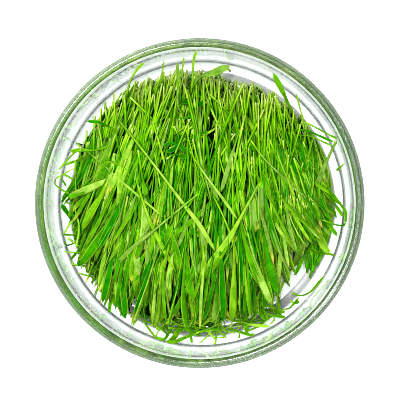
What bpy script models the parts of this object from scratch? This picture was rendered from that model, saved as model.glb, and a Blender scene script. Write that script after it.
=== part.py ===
"""Cut wheatgrass heaped in a straight-sided clear glass bowl.

Units are metres and +Z is up. The origin is the middle of the bowl's foot, on the surface it stands on.
The blades lie along Y: their cut stem ends point to +Y and their leaf tips to -Y. They form one dense
heap, and a few more have fallen round its front, between the heap and the glass.
"""

import math
import random

import bmesh
import bpy
from mathutils import Matrix, Vector

MM = 0.001

# Glass bowl: outside diameter 200 mm, steep wall, flat floor, and a round bead at the rim
RIM_RADIUS = 100 * MM
BOWL_HEIGHT = 66 * MM
FOOT_RADIUS = 87.5 * MM
FOOT_RING_WIDTH = 7.2 * MM
FOOT_RECESS = 1.2 * MM
FLOOR_TOP = 5.0 * MM
HEEL_RADIUS = 7.5 * MM
INNER_FLOOR_RADIUS = 79.6 * MM
INNER_HEEL_RADIUS = 12 * MM
WALL_TOP_OUTER_RADIUS = 97.5 * MM
WALL_TOP_INNER_RADIUS = 93.8 * MM
WALL_TOP = 57 * MM
BEAD_THICKNESS = 6 * MM
BEAD_END_DEG = -67.5
BEAD_STEPS = 11
BOWL_SIDES = 64
ARC_STEPS = 4

# Heap: a dome with steep sides that fills the bowl to about its rim, lower and shorter at its front right
HEAP_TOP = 58 * MM
HEAP_RADIUS = 84 * MM
SHORT_BY = 9 * MM
SHORT_TOWARDS = math.radians(-55)
DOME_PLAN_POWER = 2.4
DOME_DROP_POWER = 0.62
PARTING_DEPTH = 9 * MM
PARTING_CENTRE = (-9 * MM, 30 * MM)
PARTING_SIZE = (9 * MM, 26 * MM)

# Blades: they fan out from a point well beyond their cut ends
FAN_POINT = (0.0, 205 * MM)
BLADE_WIDTH = 5.2 * MM
BLADE_THICKNESS = 1.5 * MM
BLADE_STATIONS = (0.0, 0.1, 0.32, 0.66, 0.88, 1.0)
BLADE_GIRTHS = (0.45, 0.47, 0.58, 0.95, 0.86, 0.14)
LONGEST = 156 * MM
SHORTEST = 46 * MM
SINK = 0.5 * MM
CORE_DEPTH = (2.0 * MM, 5.0 * MM)
CORE_EDGE = 4 * MM
CORE_REACH = 0.94
CORE_CUTS = 9
CLEARANCE = 0.5 * MM

UPPER_BLADES = 58
SIDE_BLADES = 24
SEED = 11

# Long blades lying slantwise over the heap: start and end seen from above, in mm
CROSSING = (
    ((-57, 58), (10, -13)),
    ((-75, 36), (-24, -8)),
    ((-24, 65), (-9, 40)),
    ((6, 10), (-30, -14)),
    ((30, 40), (64, 2)),
    ((42, 20), (0, -36)),
    ((79, -2), (50, -18)),
    ((-30, 24), (-2, -40)),
    ((12, 34), (26, -30)),
    ((20, 58), (34, 14)),
)

# Blades leaning out of the heap to the glass: start seen from above, then the tip with its height, in mm
LEANING = (
    ((-50, 32), (-87, 14, 40)),
    ((-58, 16), (-84, 4, 34)),
    ((-52, -10), (-84, -24, 30)),
    ((-48, 58), (-36, 80, 44)),
    ((-12, 62), (-8, 87, 50)),
    ((66, 4), (80, 36, 48)),
    ((56, 46), (44, 76, 44)),
    ((52, -14), (85, -20, 32)),
    ((48, -30), (78, -34, 26)),
)

# Fallen blades, round the front: start and end as (degrees from +X, radius, height), in mm
FALLEN_FRONT = (
    ((246, 86.0, 12.0), (292, 82.5, 9.0)),
    ((258, 81.5, 8.0), (303, 86.5, 15.0)),
    ((280, 86.8, 17.0), (318, 81.5, 8.0)),
    ((292, 81.0, 7.5), (331, 87.0, 17.0)),
)

GLASS_COLOUR = (0.86, 0.93, 0.89, 1.0)
LEAF_COLOUR = (0.16, 0.42, 0.02, 1.0)


def clear_scene():
    """Empties the file of objects."""
    for obj in list(bpy.data.objects):
        bpy.data.objects.remove(obj, do_unlink=True)


def collection_named(name):
    """A new collection linked to the scene."""
    made = bpy.data.collections.new(name)
    bpy.context.scene.collection.children.link(made)
    return made


def plain_material(name, colour, roughness, transmission=0.0):
    """A Principled material with one colour."""
    made = bpy.data.materials.new(name)
    made.use_nodes = True
    shader = made.node_tree.nodes["Principled BSDF"]
    shader.inputs["Base Color"].default_value = colour
    shader.inputs["Roughness"].default_value = roughness
    shader.inputs["Transmission Weight"].default_value = transmission
    return made


# Glass bowl


def arc(centre_r, centre_z, radius, start_deg, end_deg, steps=ARC_STEPS):
    """Points of an arc in the turning plane, as (radius, height)."""
    angles = [start_deg + (end_deg - start_deg) * i / steps for i in range(steps + 1)]
    return [
        (centre_r + radius * math.cos(math.radians(a)), centre_z + radius * math.sin(math.radians(a)))
        for a in angles
    ]


def bowl_profile():
    """The bowl's section from the middle of its floor, over the rim, to the middle of its underside."""
    ring_inside = FOOT_RADIUS - FOOT_RING_WIDTH
    bead = BEAD_THICKNESS / 2
    heel_r = FOOT_RADIUS + HEEL_RADIUS
    inner_r = INNER_FLOOR_RADIUS + INNER_HEEL_RADIUS
    inside = [(0.0, FLOOR_TOP)]
    inside += arc(INNER_FLOOR_RADIUS, FLOOR_TOP + INNER_HEEL_RADIUS, INNER_HEEL_RADIUS, -90, 0)
    inside += [(WALL_TOP_INNER_RADIUS, WALL_TOP)]
    rim = arc(RIM_RADIUS - bead, BOWL_HEIGHT - bead, bead, 180, BEAD_END_DEG, BEAD_STEPS)
    outside = [(WALL_TOP_OUTER_RADIUS, WALL_TOP)]
    outside += arc(heel_r - HEEL_RADIUS, HEEL_RADIUS, HEEL_RADIUS, 0, -90)
    outside += [(ring_inside, 0.0), (ring_inside - FOOT_RECESS, FOOT_RECESS), (0.0, FOOT_RECESS)]
    assert inner_r < WALL_TOP_INNER_RADIUS
    return inside + rim + outside


def build_bowl(collection, material):
    """Turns the section about Z with a Screw modifier."""
    mesh = bpy.data.meshes.new("glass_bowl")
    points = [(r, 0.0, z) for r, z in reversed(bowl_profile())]
    mesh.from_pydata(points, [(i, i + 1) for i in range(len(points) - 1)], [])
    bowl = bpy.data.objects.new("glass_bowl", mesh)
    collection.objects.link(bowl)
    screw = bowl.modifiers.new("turn", "SCREW")
    screw.axis = "Z"
    screw.steps = BOWL_SIDES
    screw.render_steps = BOWL_SIDES
    screw.use_merge_vertices = True
    screw.merge_threshold = 0.01 * MM
    screw.use_normal_flip = True
    mesh.materials.append(material)
    return bowl


def inner_radius(z):
    """The radius of the bowl's hollow at height z."""
    heel_top = FLOOR_TOP + INNER_HEEL_RADIUS
    if z < heel_top:
        drop = min(heel_top - z, INNER_HEEL_RADIUS)
        return INNER_FLOOR_RADIUS + math.sqrt(max(INNER_HEEL_RADIUS**2 - drop**2, 0.0))
    foot_r = INNER_FLOOR_RADIUS + INNER_HEEL_RADIUS
    share = min((z - heel_top) / (WALL_TOP - heel_top), 1.0)
    return foot_r + (WALL_TOP_INNER_RADIUS - foot_r) * share


# Heap form


def heap_radius(x, y):
    """How far the heap reaches from the middle of the bowl in the direction of (x, y)."""
    turn = math.atan2(y, x) - SHORT_TOWARDS
    return HEAP_RADIUS - SHORT_BY * max(math.cos(turn), 0.0) ** 2


def dome(x, y):
    """Height of the heap's surface: a dome with steep sides, with a hollow where its blades part."""
    reach = math.hypot(x, y) / heap_radius(x, y)
    share = max(1.0 - reach**DOME_PLAN_POWER, 0.0) ** DOME_DROP_POWER
    across, along = ((p - c) / size for p, c, size in zip((x, y), PARTING_CENTRE, PARTING_SIZE))
    hollow = PARTING_DEPTH * math.exp(-(across**2) - along**2)
    return FLOOR_TOP + (HEAP_TOP - FLOOR_TOP - hollow) * share


def reach_at(level):
    """The share of the heap's radius that it has at the height level."""
    share = min(max((level - FLOOR_TOP) / (HEAP_TOP - FLOOR_TOP), 0.0), 1.0)
    return (1.0 - share ** (1 / DOME_DROP_POWER)) ** (1 / DOME_PLAN_POWER)


def chord(x, level, turn):
    """The line across the heap at a height, through (x, 0) and away from the fan point.

    Returns the point, the way towards the cut ends, and how far the heap goes on that way and back."""
    point = Vector((x, 0.0))
    way = (Vector(FAN_POINT) - point).normalized()
    way.rotate(Matrix.Rotation(turn, 2))
    spans = []
    for sign in (1, -1):
        span = 0.0
        while span < 2 * HEAP_RADIUS:
            place = point + way * sign * span
            if place.length > reach_at(level) * heap_radius(place.x, place.y):
                break
            span += MM
        spans.append(span)
    return point, way, spans


def kept_inside(point, half_width):
    """The point moved clear of the glass."""
    x, y, z = point
    z = max(z, FLOOR_TOP + CLEARANCE + BLADE_THICKNESS)
    limit = inner_radius(z - BLADE_THICKNESS) - CLEARANCE - half_width
    radius = math.hypot(x, y)
    if radius > limit:
        x, y = x * limit / radius, y * limit / radius
    return Vector((x, y, z))


# Blades


def section_curve(guides):
    """A blade's section: a flat back and a low keel, one blade width across."""
    curve = bpy.data.curves.new("blade_section", "CURVE")
    curve.dimensions = "2D"
    spline = curve.splines.new("POLY")
    corners = ((-0.5, -0.3), (0.5, -0.3), (0.0, 0.7))
    spline.points.add(len(corners) - 1)
    for point, (across, up) in zip(spline.points, corners):
        point.co = (across * BLADE_WIDTH, up * BLADE_THICKNESS, 0.0, 1.0)
    spline.use_cyclic_u = True
    section = bpy.data.objects.new("blade_section", curve)
    section.hide_render = True
    guides.objects.link(section)
    return section


def blade_curve(name, path, girth, roll, section, collection):
    """One blade: its section carried along path, slim at the cut stem, wide near the tip."""
    curve = bpy.data.curves.new(name, "CURVE")
    curve.dimensions = "3D"
    curve.twist_mode = "Z_UP"
    curve.bevel_mode = "OBJECT"
    curve.bevel_object = section
    curve.use_fill_caps = True
    spline = curve.splines.new("POLY")
    spline.points.add(len(path) - 1)
    for point, place, share in zip(spline.points, path, BLADE_GIRTHS):
        point.co = (*place, 1.0)
        point.radius = share * girth
        point.tilt = roll
    blade = bpy.data.objects.new(name, curve)
    collection.objects.link(blade)
    return blade


def blade_path(start, end, bow, level, lifts, sunk_at, girth):
    """Points of a blade laid on the heap from start to end, which are (x, y).

    It touches the dome at sunk_at and rises off it towards its two ends by lifts. A blade from inside the
    heap stays under level. bow is how far its middle stands off the straight line, to its left."""
    along = end - start
    across = Vector((-along.y, along.x)).normalized()
    points = []
    for u, share in zip(BLADE_STATIONS, BLADE_GIRTHS):
        place = start + along * u + across * (4 * bow * u * (1 - u))
        if u < sunk_at:
            lift = lifts[0] * ((sunk_at - u) / sunk_at) ** 2
        else:
            lift = lifts[1] * ((u - sunk_at) / (1 - sunk_at)) ** 2
        height = min(dome(place.x, place.y), level) - SINK + lift
        points.append(kept_inside((place.x, place.y, height), BLADE_WIDTH * share * girth / 2))
    return points


def upper_blade(rng, share):
    """A blade that lies on top of the heap, over the dome. share is its place across the heap, 0 to 1."""
    x = (2 * share - 1) * 0.97 * HEAP_RADIUS
    point, way, (ahead, back) = chord(x, FLOOR_TOP, math.radians(rng.gauss(0.0, 6.0)))
    stem = ahead - HEAP_RADIUS * 0.45 * rng.random() ** 2
    tip = max(stem - LONGEST * rng.uniform(0.8, 1.0), -back)
    lifts = (rng.uniform(0.8, 3.2) * MM, rng.uniform(0.8, 4.0) * MM)
    sunk_at = rng.uniform(0.32, 0.6)
    return point + way * stem, point + way * tip, rng.gauss(0.0, 1.5) * MM, 2 * HEAP_TOP, lifts, sunk_at


def side_blade(rng, share):
    """A blade inside the heap, whose cut end or tip shows on the slope at its own level."""
    level = FLOOR_TOP + rng.uniform(0.15, 0.75) * (HEAP_TOP - FLOOR_TOP)
    x = (2 * share - 1) * 0.9 * HEAP_RADIUS
    point, way, (ahead, back) = chord(x, level, math.radians(rng.gauss(0.0, 6.0)))
    shown = rng.uniform(1.5, 5.0) * MM
    length = max(min(ahead + back, LONGEST * rng.uniform(0.7, 0.95)), SHORTEST)
    if rng.random() < 0.5:
        stem = ahead + shown
        tip = stem - length
    else:
        tip = -back - shown
        stem = tip + length
    lifts = (rng.uniform(0.2, 2.0) * MM, rng.uniform(-0.5, 2.0) * MM)
    return point + way * stem, point + way * tip, 0.0, level, lifts, rng.uniform(0.35, 0.6)


def crossing_blade(rng, ends):
    """A loose blade that lies slantwise over the others. ends are its start and end seen from above, in mm."""
    start, end = (Vector(place) * MM for place in ends)
    lifts = (rng.uniform(2.0, 4.0) * MM, rng.uniform(2.0, 4.0) * MM)
    return start, end, rng.gauss(0.0, 2.0) * MM, 2 * HEAP_TOP, lifts, rng.uniform(0.4, 0.6)


def leaning_path(start, end, girth):
    """Points of a blade that leaves the heap at start, (x, y), and leans out to end, (x, y, z), in mm."""
    start, end = Vector(start) * MM, Vector(end) * MM
    first = Vector((*start, dome(*start) - 2 * SINK))
    points = []
    for u, share in zip(BLADE_STATIONS, BLADE_GIRTHS):
        place = first.lerp(end, u)
        place.z = max(place.z, dome(place.x, place.y) - SINK)
        points.append(kept_inside(place, BLADE_WIDTH * share * girth / 2))
    return points


def fallen_path(start, end, girth):
    """Points of a blade lying round the heap against the glass. start and end are (degrees, radius, z)."""
    points = []
    for u, share in zip(BLADE_STATIONS, BLADE_GIRTHS):
        turn, radius, z = (a + (b - a) * u for a, b in zip(start, end))
        x, y = (radius * MM * f(math.radians(turn)) for f in (math.cos, math.sin))
        points.append(kept_inside((x, y, z * MM), BLADE_WIDTH * share * girth / 2))
    return points


def core_mesh():
    """The packed middle of the heap: a subdivided cube, its square drawn out to a disc under the dome."""
    bm = bmesh.new()
    bmesh.ops.create_cube(bm, size=2.0)
    bmesh.ops.subdivide_edges(bm, edges=bm.edges, cuts=CORE_CUTS, use_grid_fill=True)
    low = FLOOR_TOP + CLEARANCE
    for vert in bm.verts:
        a, b, c = vert.co
        x = a * math.sqrt(1 - b * b / 2)
        y = b * math.sqrt(1 - a * a / 2)
        reach = CORE_REACH * heap_radius(x, y)
        x, y = x * reach, y * reach
        depth = CORE_DEPTH[0] + (CORE_DEPTH[1] - CORE_DEPTH[0]) * math.hypot(a, b) ** 4 / 4
        top = max(dome(x, y) - depth, low + CORE_EDGE)
        vert.co = (x, y, low + (top - low) * (c + 1) / 2)
    mesh = bpy.data.meshes.new("core")
    bm.to_mesh(mesh)
    bm.free()
    return mesh


def as_closed_mesh(obj, collection):
    """The curve's evaluated mesh as an object, with its caps welded on. The curve is removed."""
    graph = bpy.context.evaluated_depsgraph_get()
    mesh = bpy.data.meshes.new_from_object(obj.evaluated_get(graph))
    bm = bmesh.new()
    bm.from_mesh(mesh)
    bmesh.ops.remove_doubles(bm, verts=bm.verts, dist=0.002 * MM)
    bmesh.ops.recalc_face_normals(bm, faces=bm.faces)
    bm.to_mesh(mesh)
    bm.free()
    made = bpy.data.objects.new(obj.name + "_solid", mesh)
    made.matrix_world = obj.matrix_world
    collection.objects.link(made)
    curve = obj.data
    bpy.data.objects.remove(obj)
    bpy.data.curves.remove(curve)
    return made


def largest_shell(mesh):
    """Keeps the shell with most faces, which drops loose scraps and fills sealed hollows."""
    bm = bmesh.new()
    bm.from_mesh(mesh)
    unseen = set(bm.faces)
    shells = []
    while unseen:
        shell = []
        border = [unseen.pop()]
        while border:
            face = border.pop()
            shell.append(face)
            near = {other for edge in face.edges for other in edge.link_faces} & unseen
            unseen -= near
            border.extend(near)
        shells.append(shell)
    shells.sort(key=len)
    for shell in shells[:-1]:
        bmesh.ops.delete(bm, geom=shell, context="FACES")
    bm.to_mesh(mesh)
    bm.free()
    return len(shells) - 1


def fused(name, base_mesh, blades, collection, material):
    """One node: base_mesh joined to every blade by one Boolean union, which is then applied."""
    loose = collection_named(name + "_blades")
    base = bpy.data.objects.new(name + "_base", base_mesh)
    loose_base = collection_named(name + "_base")
    loose_base.objects.link(base)
    solids = [as_closed_mesh(blade, loose) for blade in blades]
    union = base.modifiers.new("fuse", "BOOLEAN")
    union.operation = "UNION"
    union.operand_type = "COLLECTION"
    union.collection = loose
    union.solver = "MANIFOLD"
    graph = bpy.context.evaluated_depsgraph_get()
    mesh = bpy.data.meshes.new_from_object(base.evaluated_get(graph))
    mesh.name = name
    for solid in [*solids, base]:
        old = solid.data
        bpy.data.objects.remove(solid)
        bpy.data.meshes.remove(old)
    for used in (loose, loose_base):
        bpy.data.collections.remove(used)
    dropped = largest_shell(mesh)
    mesh.materials.clear()
    mesh.materials.append(material)
    made = bpy.data.objects.new(name, mesh)
    collection.objects.link(made)
    print(name, len(mesh.polygons), "faces,", dropped, "scraps dropped")
    return made


def build_heap(guides, section, collection, material):
    """The heap: its packed middle and all its blades in one body."""
    rng = random.Random(SEED)
    laid = [upper_blade(rng, (i + rng.random()) / UPPER_BLADES) for i in range(UPPER_BLADES)]
    laid += [side_blade(rng, (i + rng.random()) / SIDE_BLADES) for i in range(SIDE_BLADES)]
    laid += [crossing_blade(rng, ends) for ends in CROSSING]
    paths = []
    for start, end, bow, level, lifts, sunk_at in laid:
        girth = rng.uniform(0.82, 1.15)
        paths.append((blade_path(start, end, bow, level, lifts, sunk_at, girth), girth))
    for start, end in LEANING:
        girth = rng.uniform(0.7, 0.9)
        paths.append((leaning_path(start, end, girth), girth))
    blades = []
    for index, (path, girth) in enumerate(paths):
        roll = math.radians(rng.gauss(0.0, 14.0))
        blades.append(blade_curve(f"blade_{index}", path, girth, roll, section, guides))
    return fused("grass_heap", core_mesh(), blades, collection, material)


def build_fallen(guides, section, collection, material):
    """Loose blades lying across each other on the floor, between the heap and the glass, in one body."""
    blades = []
    for index, (start, end) in enumerate(FALLEN_FRONT):
        girth = 0.72 + 0.05 * (index % 3)
        path = fallen_path(start, end, girth)
        blades.append(blade_curve(f"fallen_{index}", path, girth, 0.0, section, guides))
    first = as_closed_mesh(blades[0], guides)
    base_mesh = first.data
    bpy.data.objects.remove(first)
    return fused("fallen_blades", base_mesh, blades[1:], collection, material)


def main():
    """Builds the object."""
    clear_scene()
    part = collection_named("wheatgrass_bowl")
    guides = collection_named("guides")
    glass = plain_material("clear_glass", GLASS_COLOUR, 0.02, 1.0)
    leaf = plain_material("fresh_leaf", LEAF_COLOUR, 0.45)
    build_bowl(part, glass)
    section = section_curve(guides)
    build_heap(guides, section, part, leaf)
    build_fallen(guides, section, part, leaf)


main()
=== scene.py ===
# %% [markdown]
# # Cut wheatgrass in a glass bowl
#
# The object is a round clear glass bowl heaped with cut wheatgrass, seen from straight above. The solids
# of the model are loaded first, because everything that is added has to lie where they lie: the bowl, the
# heap and the few blades that have fallen beside it.

import bpy
import numpy as np
from mathutils import Matrix, Vector


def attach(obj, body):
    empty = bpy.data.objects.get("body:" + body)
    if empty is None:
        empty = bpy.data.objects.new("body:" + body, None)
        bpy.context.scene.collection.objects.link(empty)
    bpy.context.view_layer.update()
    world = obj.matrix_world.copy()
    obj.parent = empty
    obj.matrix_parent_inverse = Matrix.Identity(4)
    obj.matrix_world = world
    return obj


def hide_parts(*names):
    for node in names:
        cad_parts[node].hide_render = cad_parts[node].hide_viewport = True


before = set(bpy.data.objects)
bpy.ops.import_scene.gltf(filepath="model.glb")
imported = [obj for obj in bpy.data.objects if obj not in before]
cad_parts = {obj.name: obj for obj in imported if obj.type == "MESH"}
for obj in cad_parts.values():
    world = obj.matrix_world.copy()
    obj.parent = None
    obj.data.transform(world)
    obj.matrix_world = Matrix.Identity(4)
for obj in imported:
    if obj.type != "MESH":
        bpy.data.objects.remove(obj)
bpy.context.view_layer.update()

# %% [markdown]
# Lengths are thought of in millimetres here, because a leaf of grass is 4 mm wide and half a millimetre
# thick. The heap is a dome with steep sides, and a hollow in its back half where the blades part. Its
# height at a place is worked out from how far out the place is, as a share of the heap's own radius in that
# direction, and everything that lies on the heap asks this one function for its height.

# %% The form of the heap
MM = 0.001
FLOOR_TOP = 5.0
HEAP_TOP = 58.0
HEAP_RADIUS = 84.0
PLAN_POWER = 2.4
RISE_POWER = 0.62
HOLLOW_DEPTH = 10.0
HOLLOW_X, HOLLOW_Y = -9.0, 30.0
HOLLOW_WIDTH, HOLLOW_LENGTH = 9.0, 26.0
DIRECTIONS = np.radians(np.arange(0, 360, 15))
REACHES = [80, 81, 84, 84, 82, 79, 82, 84, 86, 88, 87, 83, 77, 78, 82, 86, 83, 77, 73, 74, 75, 69, 60, 73]
FAN_POINT = np.array([12.0, 280.0])


def heap_radius(x, y):
    """How far the heap reaches in the direction of (x, y), read off a table with a number each 15 degrees:
    it bulges at its back left and front left and falls short at its front right."""
    return np.interp(np.arctan2(y, x), DIRECTIONS, REACHES, period=2 * np.pi)


def dome(x, y):
    """Height of the heap: floor + rise * (1 - reach^2.4)^0.62, less a bell-shaped hollow, and with slow
    waves across it, because cut grass lies in tufts."""
    reach = np.hypot(x, y) / heap_radius(x, y)
    share = np.maximum(1.0 - reach**PLAN_POWER, 0.0) ** RISE_POWER
    from_hollow = ((x - HOLLOW_X) / HOLLOW_WIDTH) ** 2 + ((y - HOLLOW_Y) / HOLLOW_LENGTH) ** 2
    hollow = HOLLOW_DEPTH * np.exp(-from_hollow)
    tufts = 1.1 * np.sin(x / 5.1 + 0.4 * np.sin(y / 19.0)) + 0.8 * np.sin(x / 2.9 - y / 31.0 + 1.0)
    return FLOOR_TOP + (HEAP_TOP - FLOOR_TOP - hollow + tufts) * share


def reach_at(level):
    """The share of its radius that the heap has at a height, which is dome() turned round."""
    share = np.clip((level - FLOOR_TOP) / (HEAP_TOP - FLOOR_TOP), 0.0, 1.0)
    return (1.0 - share ** (1 / RISE_POWER)) ** (1 / PLAN_POWER)


print("dome at the middle:", round(float(dome(0.0, 0.0)), 1), "mm")

# %% [markdown]
# The bowl is round, so it is one outline carried round the upright axis. The outline is given as a few
# straight runs and arcs, as on a drawing: from the middle of the underside out to the foot ring, up the
# outside of the wall, over the bead of the rim, down the inside and along the floor to its middle. The finer
# it is turned, the cleaner the glass bends light, so it has 256 steps where the solid has 64.

# %% The bowl's outline and the room inside it
BOWL_STEPS = 256
FOOT_RECESS = 1.2
FOOT_RADIUS = 87.5
HEEL_RADIUS = 7.5
BEAD_CENTRE = (97.0, 63.0)
BEAD_RADIUS = 3.0
INNER_FLOOR_RADIUS = 79.6
INNER_HEEL_RADIUS = 12.0
INNER_WALL = slice(-28, -3)


def arc(centre_r, centre_z, radius, start_deg, end_deg, steps):
    """Points on an arc: centre + radius * (cos, sin) of evenly spaced angles."""
    turn = np.radians(np.linspace(start_deg, end_deg, steps + 1))
    return np.stack([centre_r + radius * np.cos(turn), centre_z + radius * np.sin(turn)], axis=1)


bowl_outline = np.concatenate([
    [[0.0, FOOT_RECESS], [40.0, FOOT_RECESS], [78.6, FOOT_RECESS], [79.1, 1.1], [79.9, 0.2], [80.3, 0.0]],
    arc(FOOT_RADIUS, HEEL_RADIUS, HEEL_RADIUS, -90, 0, 12),
    np.linspace([95.1, 9.5], [97.5, 54.0], 8),
    arc(*BEAD_CENTRE, BEAD_RADIUS, -80.4, 180, 28),
    np.linspace([94.0, 61.2], [91.65, 20.0], 8),
    arc(INNER_FLOOR_RADIUS, FLOOR_TOP + INNER_HEEL_RADIUS, INNER_HEEL_RADIUS, 0, -90, 16),
    [[77.5, FLOOR_TOP], [40.0, FLOOR_TOP], [0.0, FLOOR_TOP]],
])


def turned(outline, steps):
    """A closed mesh of an outline turned round Z: ring j, point i lies at (r cos, r sin, z) of turn j. The
    first and last points lie on the axis, so each is one vertex with a fan of triangles."""
    angle = np.linspace(0.0, 2 * np.pi, steps, endpoint=False)
    ring = outline[1:-1]
    x = np.cos(angle)[:, None] * ring[None, :, 0]
    y = np.sin(angle)[:, None] * ring[None, :, 0]
    z = np.broadcast_to(ring[None, :, 1], x.shape)
    points = np.stack([x, y, z], axis=2).reshape(-1, 3)
    poles = np.array([[0.0, 0.0, outline[0, 1]], [0.0, 0.0, outline[-1, 1]]])
    count = len(ring)
    j, i = np.meshgrid(np.arange(steps), np.arange(count - 1), indexing="ij")
    here, there = j * count + i, ((j + 1) % steps) * count + i
    quads = np.stack([here, there, there + 1, here + 1], axis=2).reshape(-1, 4)
    j = np.arange(steps)
    low = np.stack([np.full(steps, steps * count), ((j + 1) % steps) * count, j * count], axis=1)
    last, next_last = j * count + count - 1, ((j + 1) % steps) * count + count - 1
    high = np.stack([np.full(steps, steps * count + 1), last, next_last], axis=1)
    return np.concatenate([points, poles]), quads.tolist() + low.tolist() + high.tolist()


def inner_radius(z):
    """The radius of the bowl's hollow at a height, read off the inner wall and heel of its outline."""
    inside = bowl_outline[INNER_WALL][::-1]
    return np.interp(z, inside[:, 1], inside[:, 0])


print("outline points:", len(bowl_outline), "inner radius at 40 mm:", inner_radius(40.0))

# %% [markdown]
# Every piece becomes an object in the same plain way: its points go in metres into a mesh whose object
# stays at the origin, its faces are shaded smooth, it is given its finish, and the solid that it stands for
# is hidden.

# %% From arrays to a piece of the model


def piece_from(name, points, faces, material, node, layers=()):
    """Makes an object from points in mm and faces, with per-point numbers stored as named attributes."""
    mesh = bpy.data.meshes.new(name)
    mesh.from_pydata((points * MM).tolist(), [], faces)
    for label, values in layers:
        mesh.attributes.new(label, "FLOAT", "POINT").data.foreach_set("value", values.astype(np.float32))
    mesh.polygons.foreach_set("use_smooth", np.ones(len(mesh.polygons), dtype=bool))
    mesh.materials.append(material)
    mesh.update()
    made = bpy.data.objects.new(name, mesh)
    bpy.context.scene.collection.objects.link(made)
    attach(made, "root")
    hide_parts(node)
    sides = np.empty(len(mesh.polygons), dtype=np.int32)
    mesh.polygons.foreach_get("loop_total", sides)
    print(name, "triangles:", int((sides - 2).sum()))
    return made


print("a mesh holds millimetres times", MM)

# %% [markdown]
# A material is a few nodes. Colours are written as they look on a screen, in hex, and Blender mixes light
# in linear numbers, so one function turns one into the other. Another adds a node of any kind.

# %% Colours and nodes
MIXED = {"data_type": "RGBA", "blend_type": "MIX"}
MULTIPLIED = {"data_type": "RGBA", "blend_type": "MULTIPLY"}
SMOOTH = {"interpolation_type": "SMOOTHSTEP"}


def linear(hex_colour):
    """sRGB hex to linear RGBA: each channel is ((c + 0.055) / 1.055) ^ 2.4, or c / 12.92 near black."""
    c = np.array([int(hex_colour[i:i + 2], 16) for i in (1, 3, 5)]) / 255
    rgb = np.where(c > 0.04045, ((c + 0.055) / 1.055) ** 2.4, c / 12.92)
    return (*rgb.tolist(), 1.0)


def node(tree, kind, inputs=None, stops=(), **settings):
    """Adds a shader node. Settings name its properties and sockets, inputs give sockets, by name or number, a
    value or another node's output, and stops are the (place, hex colour) pairs of a colour ramp."""
    made = tree.nodes.new("ShaderNode" + kind)
    for key, value in settings.items():
        label = key.replace("_", " ")
        if label in made.inputs:
            made.inputs[label].default_value = value
        else:
            setattr(made, key, value)
    for key, source in (inputs or {}).items():
        if isinstance(source, bpy.types.NodeSocket):
            tree.links.new(source, made.inputs[key])
        else:
            made.inputs[key].default_value = source
    for index, (place, colour) in enumerate(stops):
        elements = made.color_ramp.elements
        element = elements[index] if index < len(elements) else elements.new(place)
        element.position = place
        element.color = linear(colour)
    return made


def new_material(name, **settings):
    """A material with its Principled shader, and the shader's own sockets set."""
    made = bpy.data.materials.new(name)
    made.use_nodes = True
    shader = made.node_tree.nodes["Principled BSDF"]
    for key, value in settings.items():
        shader.inputs[key.replace("_", " ")].default_value = value
    return made, made.node_tree, shader


print("leaf green in linear light:", [round(c, 3) for c in linear("#6cb000")])

# %% [markdown]
# The bowl is soda-lime glass, pressed in a mould and polished by fire: clear, with a very slight green from
# the iron in the sand. The flame reaches the wall best, so that is smooth. The foot and the heel keep some
# of the mould's fine grain, so that what lies behind them is blurred. The bead at the rim is a little wavy,
# so that the green of the grass runs round it in one soft band. Soda-lime glass has an IOR of 1.52.

# %% Fire-polished soda-lime glass
HEEL_GRAIN, WALL_GRAIN, BEAD_WAVES = 0.3, 0.02, 0.12

glass, tree, shader = new_material(
    "fire_polished_soda_lime_glass",
    Base_Color=linear("#f4fbf6"),
    IOR=1.52,
    Transmission_Weight=1.0,
)
place = node(tree, "TexCoord").outputs["Object"]
height = node(tree, "SeparateXYZ", {"Vector": place}).outputs["Z"]
heel = node(tree, "MapRange", {"Value": height}, From_Min=10 * MM, From_Max=20 * MM,
            To_Min=HEEL_GRAIN, To_Max=WALL_GRAIN, **SMOOTH)
bead = node(tree, "MapRange", {"Value": height}, From_Min=55 * MM, From_Max=60 * MM,
            To_Max=BEAD_WAVES, **SMOOTH)
rough = node(tree, "Math", {0: heel.outputs[0], 1: bead.outputs[0]}, operation="ADD")
tree.links.new(rough.outputs[0], shader.inputs["Roughness"])
absorption = node(tree, "VolumeAbsorption", Color=linear("#7fa39a"), Density=3.0)
tree.links.new(absorption.outputs["Volume"], tree.nodes["Material Output"].inputs["Volume"])
print("glass:", glass.name)

# %% [markdown]
# Fresh wheatgrass is a cut leaf with lengthwise ribs. The cut stem is pale, almost white, because it grew
# in the shade of the others, the blade is a strong yellow green, and some tips have dried to straw. The eye
# sees blades that differ, so each carries numbers of its own, and the colour is mixed from those and from
# how far along the blade a point is. Its mottling is in patches of about 6 mm. The ribs of a real leaf are a
# quarter of a millimetre apart, which is too fine to show, so these are drawn twice as coarse, seven to a
# leaf.

# %% Fresh grass leaf
# Painted shade: the leaf colour is multiplied by this ramp, darker the deeper a point lies in the heap.
PAINTED_DEPTH_SHADE = [(0.02, "#ffffff"), (0.12, "#8cb45c"), (0.22, "#2c6408"), (0.36, "#061c02"), (1.0, "#000400")]
ALONG = [(0.0, "#e8f0b8"), (0.02, "#c4dc68"), (0.1, "#94c81c"), (0.3, "#6cb000"), (0.92, "#489000"),
         (1.0, "#88b020")]
TINTS = [(0.0, "#088400"), (0.2, "#349000"), (0.45, "#5ca008"), (0.68, "#7cac18"), (0.8, "#a0c83c"),
         (0.88, "#bcd878"), (0.93, "#98b468"), (1.0, "#84a454")]
OWN_TINT_SHARE = 0.88
EDGE_HIGHLIGHT_SHARE = 0.5
RIB_TURNS = 22.0
MOTTLES_PER_METRE = 160.0


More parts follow.
